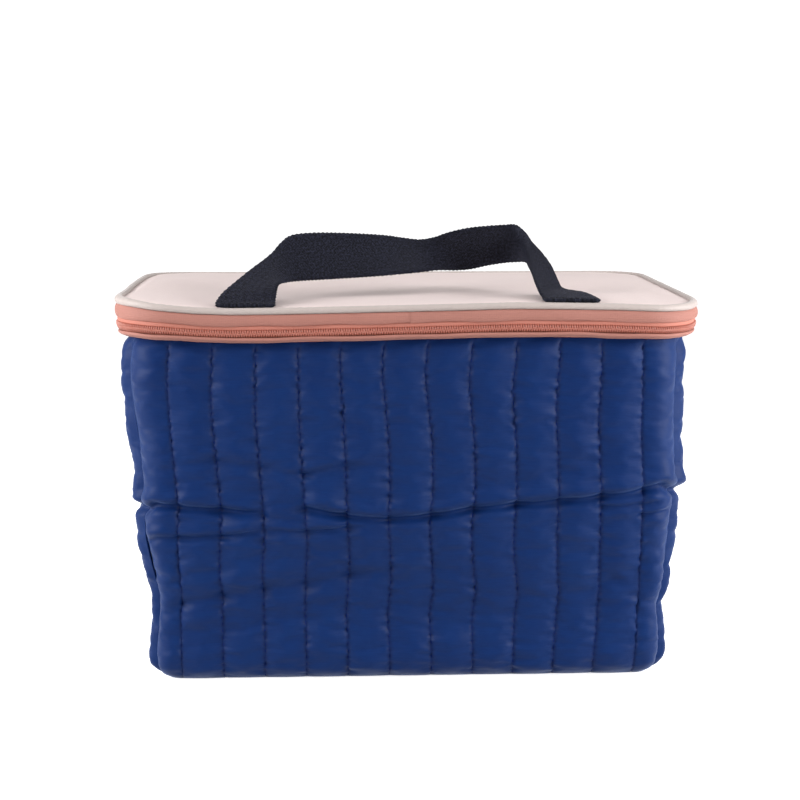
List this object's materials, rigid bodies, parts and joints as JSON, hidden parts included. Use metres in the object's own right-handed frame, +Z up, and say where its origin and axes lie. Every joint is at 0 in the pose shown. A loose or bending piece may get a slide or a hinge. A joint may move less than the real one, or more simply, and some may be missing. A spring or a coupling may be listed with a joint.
{
  "type": "insulated lunch bag",
  "caption": "Soft lunch bag with channel-quilted padded walls, a flat padded lid that zips round the front and sides, and a webbing carry handle",
  "frame": {"origin": "centre of the flat base, on the surface the bag stands on", "axes": "+X to the bag's right as seen from the front, -Y out of the front where the handle is sewn, +Z up"},
  "size_m": [0.2737, 0.168, 0.2139],
  "materials": {
    "quilted_cloth": "satin navy nylon, channel quilted",
    "lid_cloth": "fine blush canvas",
    "coral_cloth": "coral cotton bands and zip tape",
    "zip_coil": "coral nylon coil",
    "piping": "grey-beige corded piping",
    "webbing": "black twill webbing",
    "thread": "black sewing thread",
    "binding": "dark woven binding tape",
    "foam": "closed-cell insulating foam",
    "lining": "wipe-clean silver-grey foil lining",
    "slider_metal": "enamelled zinc zip slider"
  },
  "bodies": {
    "base": {"front_panel": "quilted_cloth", "back_panel": "quilted_cloth", "left_panel": "quilted_cloth", "right_panel": "quilted_cloth", "bottom_panel": "quilted_cloth", "wall_foam": "foam", "bottom_foam": "foam", "wall_lining": "lining", "bottom_lining": "lining", "bottom_seam_binding": "binding", "rim_binding": "coral_cloth", "lower_zip_welt": "coral_cloth", "lower_zip_tape": "coral_cloth", "lower_coil": "zip_coil", "zip_end_stops": "thread", "hinge_strip": "coral_cloth"},
    "lid": {"lid_panel": "lid_cloth", "lid_foam": "foam", "lid_lining": "lining", "lid_seam_binding": "binding", "lid_piping": "piping", "lid_band": "coral_cloth", "upper_zip_tape": "coral_cloth", "upper_coil": "zip_coil", "handle_foot_left": "webbing", "handle_foot_right": "webbing", "handle_stitches": "thread"},
    "handle": {"handle_strap": "webbing"},
    "slider": {"slider_body": "slider_metal", "slider_back_plate": "slider_metal"},
    "pull": {"pull_tab": "slider_metal"}
  },
  "joints": [
    {"name": "lid_hinge", "type": "hinge", "parent": "base", "child": "lid", "pos_m": [0, 0.0837, 0.1685], "axis": [-1, 0, 0], "range_deg": [0, 170]},
    {"name": "handle_swing", "type": "hinge", "parent": "lid", "child": "handle", "pos_m": [0, -0.0757, 0.1819], "axis": [1, 0, 0], "range_deg": [-4, 95]},
    {"name": "slider_run", "type": "slide", "parent": "base", "child": "slider", "axis": [0, -1, 0], "range_m": [0, 0.101]},
    {"name": "pull_flip", "type": "hinge", "parent": "slider", "child": "pull", "pos_m": [0.13685, 0.0505, 0.1685], "axis": [0, 0, 1], "range_deg": [0, 170]}
  ]
}
